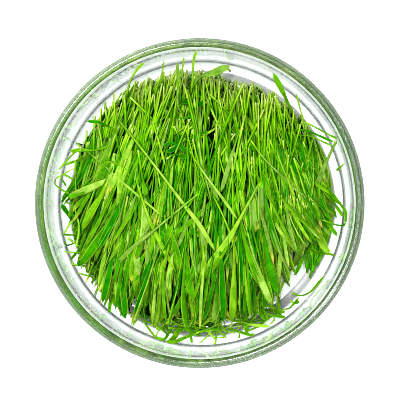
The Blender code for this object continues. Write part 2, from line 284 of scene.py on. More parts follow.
def grass_colour(tree, along, tint, dry, across, deep, ribs):
    """Colour along the blade, shifted by the blade's own tint, mottled, with a painted highlight along the
    edges of the flat leaf and painted shade on the sides of the round stem, with veins, straw on dry tips,
    and painted shade deep in the heap."""
    place = node(tree, "TexCoord").outputs["Object"]
    base = node(tree, "ValToRGB", {0: along}, ALONG).outputs[0]
    own = node(tree, "ValToRGB", {0: tint}, TINTS).outputs[0]
    leafy = node(tree, "MapRange", {0: along}, From_Max=0.5, To_Max=OWN_TINT_SHARE, **SMOOTH)
    colour = node(tree, "Mix", {0: leafy.outputs[0], 6: base, 7: own}, **MIXED).outputs[2]
    mottle = node(tree, "TexNoise", {"Vector": place}, Scale=MOTTLES_PER_METRE, Detail=3.0)
    patch = node(tree, "MapRange", {0: mottle.outputs[0]}, From_Min=0.35, From_Max=0.7, **SMOOTH)
    spots = {0: patch.outputs[0], 6: linear("#c9d9b0"), 7: linear("#ffffff")}
    spotted = node(tree, "Mix", spots, **MIXED).outputs[2]
    colour = node(tree, "Mix", {0: 1.0, 6: colour, 7: spotted}, **MULTIPLIED).outputs[2]

    outward = node(tree, "Math", {0: across}, operation="ABSOLUTE").outputs[0]
    edge = node(tree, "MapRange", {0: outward}, From_Min=0.6, From_Max=1.0, **SMOOTH).outputs[0]
    flat = node(tree, "MapRange", {0: along}, From_Min=0.42, From_Max=0.62, **SMOOTH).outputs[0]
    stem = node(tree, "Math", {0: 1.0, 1: flat}, operation="SUBTRACT").outputs[0]
    # Painted highlight: the edges of the flat leaf are lightened towards #cce860. Painted shade: the sides of
    # the round stem are darkened with #8cac60, as a round stem lit from above would be.
    leaf_edge = node(tree, "Math", {0: edge, 1: flat}, operation="MULTIPLY").outputs[0]
    light = node(tree, "Math", {0: leaf_edge, 1: EDGE_HIGHLIGHT_SHARE}, operation="MULTIPLY").outputs[0]
    colour = node(tree, "Mix", {0: light, 6: colour, 7: linear("#cce860")}, **MIXED).outputs[2]
    painted_stem_shade = node(tree, "Math", {0: edge, 1: stem}, operation="MULTIPLY").outputs[0]
    colour = node(tree, "Mix", {0: painted_stem_shade, 6: colour, 7: linear("#8cac60")}, **MULTIPLIED).outputs[2]

    ridge = node(tree, "MapRange", {0: ribs}, From_Min=-0.2, From_Max=1.0, **SMOOTH).outputs[0]
    vein = node(tree, "Math", {0: ridge, 1: flat}, operation="MULTIPLY").outputs[0]
    colour = node(tree, "Mix", {0: vein, 6: colour, 7: linear("#d4e4c0")}, **MULTIPLIED).outputs[2]
    tip = node(tree, "MapRange", {0: along}, From_Min=0.86, From_Max=0.99, **SMOOTH).outputs[0]
    straw = node(tree, "Math", {0: tip, 1: dry}, operation="MULTIPLY").outputs[0]
    colour = node(tree, "Mix", {0: straw, 6: colour, 7: linear("#d9c66a")}, **MIXED).outputs[2]
    # painted shade, darker the deeper and the lower a point lies in the heap
    shade = node(tree, "ValToRGB", {0: deep}, PAINTED_DEPTH_SHADE).outputs[0]
    return node(tree, "Mix", {0: 1.0, 6: colour, 7: shade}, **MULTIPLIED).outputs[2]


fresh_leaf, tree, shader = new_material("fresh_grass_leaf", Roughness=0.42, IOR=1.4, Specular_IOR_Level=0.15,
                                        Specular_Tint=linear("#d4ff90"))
carried = {label: node(tree, "Attribute", attribute_name=label).outputs["Fac"]
           for label in ("along", "tint", "dry", "across", "deep")}
turns = node(tree, "Math", {0: carried["across"], 1: RIB_TURNS}, operation="MULTIPLY").outputs[0]
ribs = node(tree, "Math", {0: turns}, operation="SINE").outputs[0]
tree.links.new(grass_colour(tree, ribs=ribs, **carried), shader.inputs["Base Color"])
bump = node(tree, "Bump", {"Height": ribs}, Strength=0.35, Distance=0.06 * MM)
tree.links.new(bump.outputs["Normal"], shader.inputs["Normal"])
print("leaf:", fresh_leaf.name)

# %% [markdown]
# Deep in the heap the grass lies packed, and hardly any light comes back out. Its colour is painted shade:
# almost black green, with a grain of two or three millimetres.

# %% Grass packed in shade
packed, tree, shader = new_material("grass_packed_in_shade", Roughness=0.9)
place = node(tree, "TexCoord").outputs["Object"]
grain = node(tree, "TexNoise", {"Vector": place}, Scale=400.0)
shades = node(tree, "ValToRGB", {0: grain.outputs[0]}, [(0.0, "#041202"), (1.0, "#0a2204")])
tree.links.new(shades.outputs[0], shader.inputs["Base Color"])
print("packed:", packed.name)

# %% [markdown]
# A blade of grass is a ribbon that starts as a round stem. Its cross-section is six points: on the stem
# they stand in a ring, and further along the ring is pressed flat and its two edges are raised, like a
# gutter. All blades of a kind are worked out at once, as arrays with one row for each blade. Form runs from
# 0 at the cut stem over 0.55 at the leaf's base to 1 at the tip, and a table gives the width at each form.

# %% Sweeping blades along their paths
RING = np.radians(np.arange(0, 360, 60))
FORM = np.array([0.0, 0.07, 0.24, 0.42, 0.55, 0.66, 0.76, 0.86, 0.94, 1.0])
LEAF_BASE = 0.55
WIDTH_FORM = [0.0, 0.45, 0.55, 0.66, 0.76, 0.85, 0.93, 0.97, 1.0]
STEM_SHARES = [1.0, 1.0, 1.0, 1.0, 1.0, 1.0, 0.9, 0.7, 0.15]
LEAF_SHARES = [0.0, 0.0, 0.3, 0.72, 0.96, 1.0, 0.84, 0.5, 0.0]


def places_along(length, leaf_length):
    """Where the stations of blades lie, as shares of their length. The stem's stations are spread over the
    stem and the leaf's over the leaf, because a longer blade has a longer stem but not a longer leaf."""
    base = 1.0 - np.minimum(leaf_length / length, 0.62)[:, None]
    leaf = base + (FORM - LEAF_BASE) / (1 - LEAF_BASE) * (1 - base)
    return np.where(FORM < LEAF_BASE, FORM / LEAF_BASE * base, leaf)


def swept(paths, form, stem, width, roll, fold):
    """Points of all blades. paths is (blades, stations, 3), form (blades, stations), stem and width the
    full widths of stem and leaf, roll the blade's turn about its own path at each station and fold how far
    its edges are raised. At each station the section is across * side + lift * up."""
    forward = np.gradient(paths, axis=1)
    forward /= np.linalg.norm(forward, axis=2, keepdims=True)
    side = np.cross(forward, [0.0, 0.0, 1.0])
    side /= np.linalg.norm(side, axis=2, keepdims=True) + 1e-9
    up = np.cross(side, forward)
    turned_side = side * np.cos(roll)[..., None] + up * np.sin(roll)[..., None]
    turned_up = up * np.cos(roll)[..., None] - side * np.sin(roll)[..., None]
    leaf = np.maximum(width - stem, 0.0)[:, None] * np.interp(form, WIDTH_FORM, LEAF_SHARES)
    wide = stem[:, None] * np.interp(form, WIDTH_FORM, STEM_SHARES) + leaf
    flat = np.clip((form - 0.42) / 0.2, 0.0, 1.0)
    thick = wide * (1 - flat) * 0.9 + np.minimum(0.4, wide) * flat
    across = 0.5 * np.cos(RING)
    lift = 0.5 * np.sin(RING)
    a = wide[..., None] * across
    b = thick[..., None] * lift + (fold[:, None] * flat * wide)[..., None] * (np.abs(across) - 0.25)
    return paths[:, :, None] + turned_side[:, :, None] * a[..., None] + turned_up[:, :, None] * b[..., None]


def blade_faces(blades, stations):
    """Quads between neighbouring rings of each blade, and one six-sided cap at each end."""
    k = len(RING)
    i, s, r = np.meshgrid(np.arange(blades), np.arange(stations - 1), np.arange(k), indexing="ij")
    first = (i * stations + s) * k
    quads = np.stack([first + r, first + (r + 1) % k, first + k + (r + 1) % k, first + k + r], axis=3)
    start = np.arange(blades)[:, None] * stations * k
    caps = np.concatenate([start + np.arange(k)[::-1], start + (stations - 1) * k + np.arange(k)])
    return quads.reshape(-1, 4).tolist() + caps.tolist()


print("points in a blade's section:", len(RING), "stations of a whole blade:", len(FORM))

# %% [markdown]
# Light falls off fast among the blades, so each point also carries how deep it lies in the heap, and the
# material darkens its colour by that, as painted shade.

# %% From blades to a piece
FULL_DEPTH = 6.0


def depth_in_heap(points):
    """How deep points lie in the heap, from 0 at its surface to 1 at 6 mm: height under the dome divided
    by sqrt(1 + slope^2), and up to 0.2 more for what lies low, most of all where it is inside the heap.
    The material paints shade by this number."""
    x, y, z = np.moveaxis(points, -1, 0)
    step = 1.0
    slope_x = (dome(x + step, y) - dome(x - step, y)) / (2 * step)
    slope_y = (dome(x, y + step) - dome(x, y - step)) / (2 * step)
    inward = (dome(x, y) - z) / np.sqrt(1 + slope_x**2 + slope_y**2)
    # painted shade for what lies low in the heap, where less light reaches
    low = 0.2 * np.clip((30.0 - z) / 25.0, 0.0, 1.0) * np.clip(0.3 + inward / 2.0, 0.3, 1.0)
    return np.clip(inward / FULL_DEPTH + low, 0.0, 1.0)


def grass_piece(name, paths, form, stem, width, roll, fold, tint, dry, node_name):
    """One piece of many blades, with each point's form, across, tint, dry and deep for the material."""
    blades, stations = form.shape
    points = swept(paths, form, stem, width, roll, fold)
    shape = points.shape[:3]
    layers = (
        ("along", np.broadcast_to(form[..., None], shape).ravel()),
        ("across", np.broadcast_to(np.cos(RING), shape).ravel()),
        ("tint", np.broadcast_to(tint[:, None, None], shape).ravel()),
        ("dry", np.broadcast_to(dry[:, None, None], shape).ravel()),
        ("deep", depth_in_heap(points).ravel()),
    )
    faces = blade_faces(blades, stations)
    return piece_from(name, points.reshape(-1, 3), faces, fresh_leaf, node_name, layers)


print("depth 3 mm under the top:", round(float(depth_in_heap(np.array([0.0, 0.0, dome(0.0, 0.0) - 3.0]))), 2))

# %% [markdown]
# The blades fan out from a point well beyond their cut ends, as they do in a handful. A blade's line is
# laid over the heap through a point on its middle, and how far the heap goes on along it is counted both
# ways.

# %% Lines over the heap
rng = np.random.default_rng(7)
SPAN = np.arange(0.0, 100.0, 1.0)
GLASS_GAP = 1.0
FLOOR_GAP = 0.8


def towards_cut_ends(point, turn):
    """Unit vectors from points towards the one that the blades fan out from, turned by an angle."""
    way = FAN_POINT - point
    angle = np.arctan2(way[:, 1], way[:, 0]) + turn
    return np.stack([np.cos(angle), np.sin(angle)], axis=1)


def chords(x, turn, level):
    """For lines through (x, 0): that point, the way towards the cut ends, and how far the heap goes on
    ahead and back at a level, as the count of whole millimetres that are still inside it."""
    point = np.stack([x, np.zeros_like(x)], axis=1)
    way = towards_cut_ends(point, turn)
    reach = reach_at(level)[:, None]

    def length(sign):
        place = point[:, None] + sign * way[:, None] * SPAN[None, :, None]
        inside = np.hypot(place[..., 0], place[..., 1]) < reach * heap_radius(place[..., 0], place[..., 1])
        return inside.sum(axis=1) * 1.0

    return point, way, length(1), length(-1)


def bowed(start, end, u, off):
    """Points at the shares u of the way from start to end, each moved aside by off."""
    line = end - start
    aside = np.stack([-line[:, 1], line[:, 0]], axis=1) / np.linalg.norm(line, axis=1)[:, None]
    return start[:, None] + line[:, None] * u[..., None] + aside[:, None] * off[..., None]


def kept_in_bowl(paths, half_width):
    """Draws points in where they would come nearer than 1 mm to the glass, and keeps them off the floor."""
    x, y, z = np.moveaxis(paths, 2, 0)
    z = np.maximum(z, FLOOR_TOP + FLOOR_GAP)
    limit = inner_radius(z) - GLASS_GAP - half_width[:, None]
    radius = np.hypot(x, y)
    pull = np.minimum(1.0, limit / np.maximum(radius, 1.0))
    return np.stack([x * pull, y * pull, z], axis=2)


print("the blades fan out from", FAN_POINT)

# %% [markdown]
# A blade on the heap is stiff, so it doesn't follow every dip under it. It lies on the heap in one place,
# bends down from there no more than its stiffness lets it, and its ends stand up a little.

# %% How a blade lies
LIE_SOFTNESS = 1.2


def laid_paths(start, end, u, depth, lifts, sunk_at, bow, curl, stiffness):
    """Paths from start to end, through the shares u of their length. Height is the dome less depth, but no
    lower than a stiff blade can bend down from where it is sunk: its height there less distance^2 /
    (2 * stiffness). The ends rise by lifts, bow moves the middle aside and curl the leaf, and a slow wave
    takes each blade over and under its neighbours."""
    length = np.linalg.norm(end - start, axis=1)
    off = 4 * bow[:, None] * u * (1 - u) + curl[:, None] * np.maximum(u - 0.5, 0.0) ** 2 / 0.25
    plan = bowed(start, end, u, off)
    wave = rng.uniform(0.0, 1.1, (len(depth), 1)) * np.sin(
        2 * np.pi * (rng.uniform(0.8, 2.2, (len(depth), 1)) * u + rng.random((len(depth), 1))))
    lying = dome(plan[..., 0], plan[..., 1]) - depth[:, None] + wave
    from_sunk = np.abs(u - sunk_at[:, None])
    row = np.argmin(from_sunk, axis=1)
    base = lying[np.arange(len(row)), row][:, None]
    held = base - (from_sunk * length[:, None]) ** 2 / (2 * stiffness[:, None])
    z = np.logaddexp(lying / LIE_SOFTNESS, held / LIE_SOFTNESS) * LIE_SOFTNESS
    before = np.where(u < sunk_at[:, None], (from_sunk / sunk_at[:, None]) ** 2, 0.0)
    after = np.where(u >= sunk_at[:, None], (from_sunk / (1 - sunk_at[:, None])) ** 2, 0.0)
    z = z + lifts[0][:, None] * before + lifts[1][:, None] * after
    return np.concatenate([plan, z[..., None]], axis=2)


def leaf_traits(count, broad):
    """Random traits of blades: widths of stem and leaf, roll at the stem and how it changes, fold, tint and
    dryness. broad is the share of blades with a broad leaf."""
    stem = rng.uniform(0.9, 1.7, count)
    width = np.where(rng.random(count) < broad, rng.uniform(3.4, 5.8, count), rng.uniform(1.6, 3.2, count))
    roll = rng.normal(0.0, 0.6, count)
    twist = rng.normal(0.0, 0.8, count)
    fold = np.where(rng.random(count) < 0.25, rng.uniform(-0.2, 0.3, count), rng.uniform(0.3, 1.3, count))
    tint = rng.random(count)
    dry = np.where(rng.random(count) < 0.1, rng.uniform(0.4, 1.0, count), 0.0)
    return stem, width, roll, twist, fold, tint, dry


print("a blade lies on the heap to within", LIE_SOFTNESS, "mm")

# %% [markdown]
# The top of the heap is three layers of whole blades. The cut end of each lies at the back edge of the heap
# or some way in from it, and its tip 40 to 160 mm further forward.

# %% Blades over the top of the heap
LONGEST_BLADE = 160.0
SHORTEST_BLADE = 40.0


def upper_blades(name, count, depth_range, turn_spread, broad):
    """Blades over the top of the heap, between two depths under its surface."""
    x = (2 * (np.arange(count) + rng.random(count)) / count - 1) * 0.985 * HEAP_RADIUS
    x = rng.permutation(x)
    turn = np.radians(rng.normal(0.0, turn_spread, count) * np.where(rng.random(count) < 0.18, 2.6, 1.0))
    point, way, ahead, back = chords(x, turn, np.full(count, FLOOR_TOP + 1.0))
    tier = HEAP_RADIUS * (0.42 + 0.22 * (x > 5)) * rng.random(count) ** 1.8
    cut = ahead - tier + rng.uniform(-2.0, 2.0, count)
    longest = cut - LONGEST_BLADE * (1 - 0.52 * rng.random(count))
    tip = np.maximum(longest, -back - rng.uniform(-1.0, 4.0, count))
    tip = np.minimum(tip, cut - SHORTEST_BLADE)
    stem, width, roll, twist, fold, tint, dry = leaf_traits(count, broad)
    u = places_along(cut - tip, rng.uniform(22.0, 38.0, count))
    lifts = (rng.uniform(0.0, 3.0, count), rng.uniform(0.0, 3.0, count))
    paths = laid_paths(
        point + way * cut[:, None], point + way * tip[:, None], u, rng.uniform(*depth_range, count), lifts,
        rng.uniform(0.3, 0.65, count), rng.normal(0.0, 3.4, count), rng.normal(0.0, 6.0, count),
        rng.uniform(80.0, 130.0, count),
    )
    paths = kept_in_bowl(paths, width / 2)
    form = np.broadcast_to(FORM, (count, len(FORM)))
    roll = roll[:, None] + twist[:, None] * form
    return grass_piece(name, paths, form, stem, width, roll, fold, tint, dry, "grass_heap")


upper_blades("blades_on_top", 250, (-0.6, 1.2), 6.5, 0.35)
upper_blades("blades_of_the_second_layer", 150, (1.2, 4.0), 6.5, 0.45)
upper_blades("blades_lower_down", 240, (4.0, 9.0), 6.5, 0.55)

# %% [markdown]
# Round the edge of the heap the ends of blades show at every height, cut stems at the back and leaf tips
# at the front. Only the last few centimetres of each can be seen, so only they are made.

# %% Blade ends round the sides of the heap
CUT_ENDS_SHOW, TIPS_SHOW = 6.5, 9.0


def side_ends(name, count, at_back, stations=7):
    """Ends of blades that stick out of the side of the heap, each lying nearly level at its own height."""
    level = FLOOR_TOP + (rng.random(count) ** 1.2 * 0.86 + 0.02) * (HEAP_TOP - FLOOR_TOP)
    x = rng.uniform(-0.99, 0.99, count) * HEAP_RADIUS
    turn = np.radians(rng.normal(0.0, 9.0, count))
    point, way, ahead, back = chords(x, turn, level)
    shown = (CUT_ENDS_SHOW if at_back else TIPS_SHOW) * rng.random(count) ** 1.4
    length = rng.uniform(36.0, 52.0, count)
    stem, width, roll, twist, fold, tint, dry = leaf_traits(count, 0.6)
    u = np.linspace(0.0, 1.0, stations)
    if at_back:
        cut = ahead + shown
        tip = cut - length
        form = np.broadcast_to(u * 0.4, (count, stations))
    else:
        tip = -back - shown
        cut = tip + length
        form = np.broadcast_to(0.5 + u * 0.5, (count, stations))
    tilt = rng.uniform(-3.0, 2.5, count)
    off = rng.normal(0.0, 3.0, (count, 1)) * u**2
    plan = bowed(point + way * cut[:, None], point + way * tip[:, None], u, off)
    rise = tilt[:, None] * (1 - u if at_back else u)
    z = np.minimum(level[:, None] + rise, dome(plan[..., 0], plan[..., 1]) + 2.0)
    paths = kept_in_bowl(np.concatenate([plan, z[..., None]], axis=2), width / 2)
    roll = roll[:, None] + twist[:, None] * form
    return grass_piece(name, paths, form, stem, width, roll, fold, tint, dry, "grass_heap")


side_ends("cut_ends_at_the_back", 520, True)
side_ends("tips_at_the_front", 520, False)

# %% [markdown]
# On the front half the leaves of blades from inside the heap come up between the others, so their broad
# ends overlap like shingles. Each starts under the surface, comes up out of it and lies down towards the
# front.

# %% Leaf ends on the front half


def leaf_ends(name, count, stations=9):
    """Leaves whose tips lie anywhere on the front half. Along a leaf the height is the dome's, less
    4.5 * (1 - u / 0.45)^2 near its start, and a little more towards the tip."""
    place = np.radians(rng.uniform(200.0, 335.0, count))
    out = np.sqrt(rng.uniform(0.2, 0.98, count))
    tip = np.stack([np.cos(place), np.sin(place)], axis=1) * out[:, None]
    tip = tip * heap_radius(tip[:, 0], tip[:, 1])[:, None] + [0.0, 4.0]
    way = towards_cut_ends(tip, np.radians(rng.normal(0.0, 9.0, count)))
    length = rng.uniform(24.0, 42.0, count)
    u = np.linspace(0.0, 1.0, stations)
    off = rng.normal(0.0, 1.6, (count, 1)) * 4 * u * (1 - u)
    plan = bowed(tip + way * length[:, None], tip, u, off)
    sunk = 4.5 * np.clip(1.0 - u / 0.45, 0.0, 1.0) ** 2
    over = rng.uniform(0.2, 1.6, (count, 1))
    tip_rise = rng.uniform(-1.0, 1.6, (count, 1)) * u**2
    z = dome(plan[..., 0], plan[..., 1]) - sunk + over + tip_rise
    stem, width, roll, twist, fold, tint, dry = leaf_traits(count, 0.8)
    paths = kept_in_bowl(np.concatenate([plan, z[..., None]], axis=2), width / 2)
    form = np.broadcast_to(0.5 + u * 0.5, (count, stations))
    roll = 0.6 * roll[:, None] + 0.6 * twist[:, None] * form
    tint = np.where(rng.random(count) < 0.3, rng.uniform(0.9, 1.0, count), 0.3 + 0.6 * tint)
    return grass_piece(name, paths, form, stem, width, roll, 0.6 * fold, tint, dry, "grass_heap")


leaf_ends("leaf_ends_on_the_front", 80)

# %% [markdown]
# Under all of them lies a packed middle, painted almost black as shade, so that no light comes up between
# the blades. It is the same dome, lower and drawn in.

# %% The packed middle
MIDDLE_STEPS = 72
MIDDLE_REACH = 0.85
MIDDLE_DEPTH = 9.5


def packed_middle():
    """A closed dome: a grid in polar form, ring i at share i of the radius, and a flat underside."""
    share = np.linspace(0.0, 1.0, 25)[1:]
    turn = np.linspace(0.0, 2 * np.pi, MIDDLE_STEPS, endpoint=False)
    x, y = np.cos(turn)[:, None] * share, np.sin(turn)[:, None] * share
    radius = MIDDLE_REACH * heap_radius(x, y)
    x, y = x * radius, y * radius
    z = np.maximum(dome(x, y) - MIDDLE_DEPTH, FLOOR_TOP + 0.6)
    under = np.stack([x[:, -1], y[:, -1], np.full(len(turn), FLOOR_TOP + 0.3)], axis=1)
    top = np.stack([x, y, z], axis=2)
    rows = np.concatenate([top, under[:, None]], axis=1)
    count = rows.shape[1]
    steps = MIDDLE_STEPS
    j, i = np.meshgrid(np.arange(steps), np.arange(count - 1), indexing="ij")
    here, there = j * count + i, ((j + 1) % steps) * count + i
    quads = np.stack([here, here + 1, there + 1, there], axis=2).reshape(-1, 4).tolist()
    points = np.concatenate([rows.reshape(-1, 3), [[0.0, 0.0, float(dome(0.0, 0.0)) - MIDDLE_DEPTH]]])
    peak = [[steps * count, k * count, ((k + 1) % steps) * count] for k in range(steps)]
    base = [[((steps - k) % steps) * count + count - 1 for k in range(steps)]]
    return points, quads + peak + base


points, faces = packed_middle()
piece_from("packed_middle", points, faces, packed, "grass_heap")

# %% [markdown]
# The long blades that lie slantwise over the heap are what the eye follows first, so each is listed one by
# one. So are those that lean out to the glass and those that have fallen beside the heap. Each is given
# by a few points, and a smooth curve is drawn through them.

# %% Smooth curves through given points


def through(points, stations):
    """A Catmull-Rom curve through points: between two of them, each is weighed by a cubic of the share of
    the way, so that the curve leaves a point in the direction of its neighbours' line."""
    p = np.array(points, dtype=float)
    p = np.concatenate([[2 * p[0] - p[1]], p, [2 * p[-1] - p[-2]]])
    t = np.linspace(0.0, len(p) - 3 - 1e-6, stations)
    i = t.astype(int)
    f = (t - i)[:, None]
    a, b, c, d = p[i], p[i + 1], p[i + 2], p[i + 3]
    return 0.5 * (2 * b + (c - a) * f + (2 * a - 5 * b + 4 * c - d) * f**2 + (3 * b - a - 3 * c + d) * f**3)


print("middle of a curve:", through([(0, 0, 0), (10, 5, 0), (20, 0, 0)], 3)[1])

# %% [markdown]
# A blade that is listed one by one is given by a few points and its own widths and tint. Most lie over the
# heap and take their height from it. Those that lean out to the glass have heights of their own, and their
# inner ends are brought down into the heap, so that none hangs in the air.

# %% Pieces of listed blades
PLACED_STATIONS = 18
ROOT_DEPTH = 1.5
BACK_THIRD = 25.0


def rooted(curve):
    """Brings the inner end of a curve down to 1.5 mm under the heap's surface, and the rest of it by the
    square of the share that is left. A blade too short to reach down stays where it is."""
    far = np.hypot(curve[:, 0], curve[:, 1]) / heap_radius(curve[:, 0], curve[:, 1])
    share = np.linspace(0.0, 1.0, len(curve))
    inner, left = (0, 1.0 - share) if far[0] < far[-1] else (-1, share)
    drop = max(curve[inner, 2] - float(dome(*curve[inner, :2])) + ROOT_DEPTH, 0.0)
    if drop < 1.2 * np.linalg.norm(curve[-1, :2] - curve[0, :2]):
        curve[:, 2] -= drop * left**2
    return curve


def placed(name, rows, node_name, above=0.0, from_heap=False):
    """A piece of listed blades. A row is (points, stem width, leaf width, tint) and may end with how
    dry the blade is. A point is (x, y), which lies above the heap by the number in above, or (x, y, z). A
    blade on the heap that starts forward of its back third comes up out of it, and with from_heap every
    blade of the piece does."""
    share = np.linspace(0.0, 1.0, PLACED_STATIONS)
    paths = []
    for points, *_ in rows:
        lifted = [p if len(p) == 3 else (*p, float(dome(*p)) + above) for p in points]
        curve = through(lifted, PLACED_STATIONS)
        if len(points[0]) == 2:
            on_heap = dome(curve[:, 0], curve[:, 1]) + 0.6 * above
            curve[:, 2] = np.maximum(curve[:, 2], on_heap)
            if points[0][1] < BACK_THIRD:
                curve[:, 2] -= (4.0 + above) * np.clip(1.0 - share / 0.3, 0.0, 1.0) ** 2
        paths.append(rooted(curve) if from_heap else curve)
    stem, width, tint, dry = np.array([(*row[1:], 0.0)[:4] for row in rows], dtype=float).T
    stem = np.maximum(stem, 0.45 * width)
    paths = kept_in_bowl(np.array(paths), width / 2)
    form = np.broadcast_to(share, (len(rows), PLACED_STATIONS))
    fold = np.full(len(rows), 0.4)
    roll = np.full(form.shape, 0.2)
    return grass_piece(name, paths, form, stem, width, roll, fold, tint, dry, node_name)


print("stations of a hand-placed blade:", PLACED_STATIONS)

# %% [markdown]
# These are the blades that cross the others: long ones that lie on the heap, some that lie on those, and a
# few dark leaves that have curled up in the hollow. They were cut with the rest and fell last, so each piece
# lies a little higher than the one before.

# %% Blades lying slantwise over the heap
long_blades = [
    ([(-62, 62), (-49, 49.5), (-27.5, 23), (-9.5, -1), (0.5, -14), (10, -30)], 1.7, 2.8, 0.84),
    ([(-83.5, 41), (-66, 28.5), (-46, 11.5), (-22, -8.5)], 1.2, 1.5, 0.84),
    ([(-25.5, 68.5), (-17, 57), (-14.5, 51), (-13.5, 41)], 1.3, 1.6, 0.95),
    ([(-18.5, 52.5), (-20.5, 45), (-23.5, 32)], 1.0, 1.2, 0.92),
    ([(-29, 49.5), (-26.5, 42), (-23.5, 32), (-21, 23)], 1.2, 1.4, 0.8),
    ([(43, 21.5), (29.5, -0.5), (17.5, -22.5), (4, -40)], 2.2, 4.6, 0.82),
    ([(38, 15.5), (31, 2), (25.5, -10.5)], 1.5, 1.7, 0.86),
    ([(-7.5, 34), (2.5, 18.5), (12.5, 5), (23.5, -10.5)], 1.4, 1.8, 0.86),
    ([(6.5, 8), (13.5, -6), (20, -22.5), (24, -40)], 1.4, 1.8, 0.8, 0.8),
    ([(25.5, 46.5), (22, 37), (19, 26.5), (13, 6.5)], 1.5, 3.0, 0.98),
    ([(-41, 21.5), (-35, 2), (-28, -16), (-14.5, -42.5)], 1.8, 2.6, 0.78),
    ([(14.5, 69.5), (24.5, 58.5), (38, 38)], 2.0, 2.6, 0.78),
    ([(31, 39), (40, 26.5), (55.5, 12), (65, 2)], 1.4, 1.7, 0.95),
    ([(20, 8), (26.5, -15.5), (34.5, -40)], 1.6, 4.8, 0.72),
    ([(-45.5, 26.5), (-54, 5), (-64.5, -15.5), (-71, -26.5)], 1.4, 2.6, 0.6),
    ([(-42, 23.5), (-49, -7.5), (-58, -29)], 1.4, 3.0, 1.0),
    ([(-38, -1), (-33, -25.5), (-32, -38.5)], 1.2, 2.8, 0.98),
    ([(-36.5, -13.5), (-40, -29), (-42.5, -49)], 1.5, 4.6, 0.72, 0.5),
    ([(-38, 32.5), (-34.5, 13), (-32.5, 4.5)], 1.4, 3.6, 0.5),
    ([(43, 39), (50, 20.5), (53, 11)], 1.4, 3.6, 0.5),
    ([(4, 8), (3, -1), (1.5, -8.5)], 1.7, 1.7, 0.96),
    ([(-41, 11), (-44.5, 19), (-49.5, 23.5), (-56, 25.5), (-60.5, 23), (-64.5, 15.5), (-70.5, 5)],
     1.1, 3.0, 0.74),
    ([(48, 20.5), (59.5, 8), (66, 2.5), (70.5, -13), (73, -19.5)], 1.3, 1.5, 0.93),
    ([(52, 8), (61, -9), (68.5, -28.5)], 1.4, 2.6, 0.96),
    ([(58, 28), (62.5, 14.5), (68.5, -5.5), (72, -18)], 1.4, 1.7, 0.82),
    ([(64, 22), (68, 11.5), (72, 2)], 1.3, 1.4, 0.95),
    ([(77, 28), (74.5, 14.5), (72.5, -1)], 1.5, 2.4, 0.65),
    ([(51, -4), (51.5, -23), (55.5, -52)], 1.8, 4.4, 0.7),
    ([(2, -22.5), (2.5, -33.5), (2.5, -42.5)], 1.6, 4.0, 0.8, 0.3),
    ([(11, -36), (10, -50.5), (7.5, -66.5)], 1.5, 4.6, 0.68, 0.3),
    ([(17.5, -36), (16, -54), (14, -70.5)], 1.6, 4.8, 0.62),
    ([(3, -36), (-1, -50.5), (-5, -68)], 1.6, 4.8, 0.66),
    ([(-17, -36), (-18.5, -50.5), (-20, -62)], 1.4, 3.6, 0.82),
    ([(-18, -22.5), (-20.5, -33.5), (-24, -43)], 1.4, 3.4, 0.74, 0.5),
    ([(-45, -41.5), (-44, -54.5), (-43, -63)], 1.4, 3.0, 0.9),
    ([(-29.5, -35), (-27, -47.5), (-27, -68.5)], 1.4, 2.8, 0.6),
    ([(37, -36.5), (34.5, -49), (34, -61)], 1.4, 3.4, 0.95),
    ([(49.5, -26.5), (46.5, -36.5), (45.5, -51.5)], 1.4, 2.6, 0.8, 0.9),
    ([(32, -36.5), (29, -47.5), (22, -55.5)], 1.3, 2.2, 0.7, 1.0),
    ([(-48.5, -36.5), (-53.5, -45), (-58.5, -53.5)], 1.4, 3.6, 0.84, 1.0),
    ([(18.5, -22.5), (13.5, -32.5), (0, -47.5)], 1.6, 4.4, 0.66),
    ([(3, -53.5), (-2.5, -60), (-0.5, -66)], 1.0, 1.6, 0.97),
]
placed("long_blades", long_blades, "grass_heap", 3.0)

crossing_blades = [
    ([(6, 11), (-9, -1), (-27, -16), (-43, -29), (-56.5, -43)], 1.5, 2.8, 0.92),
    ([(83, -1.5), (69, -10), (55.5, -18.5), (51.5, -21)], 1.6, 1.8, 0.72),
    ([(-18.5, 33.5), (-6, 40), (5, 44)], 1.4, 2.0, 0.22),
    ([(-24.5, 51), (-18.5, 54.5), (-12, 52), (-2, 55)], 1.2, 1.5, 0.15),
    ([(19.5, 89), (5.5, 78), (-5.5, 68), (-13, 60.5)], 1.4, 1.6, 1.0),
    ([(-6, 81), (-1.5, 84.5), (5, 77), (9, 72)], 1.2, 1.4, 0.85),
]
placed("crossing_blades", crossing_blades, "grass_heap", 4.2)

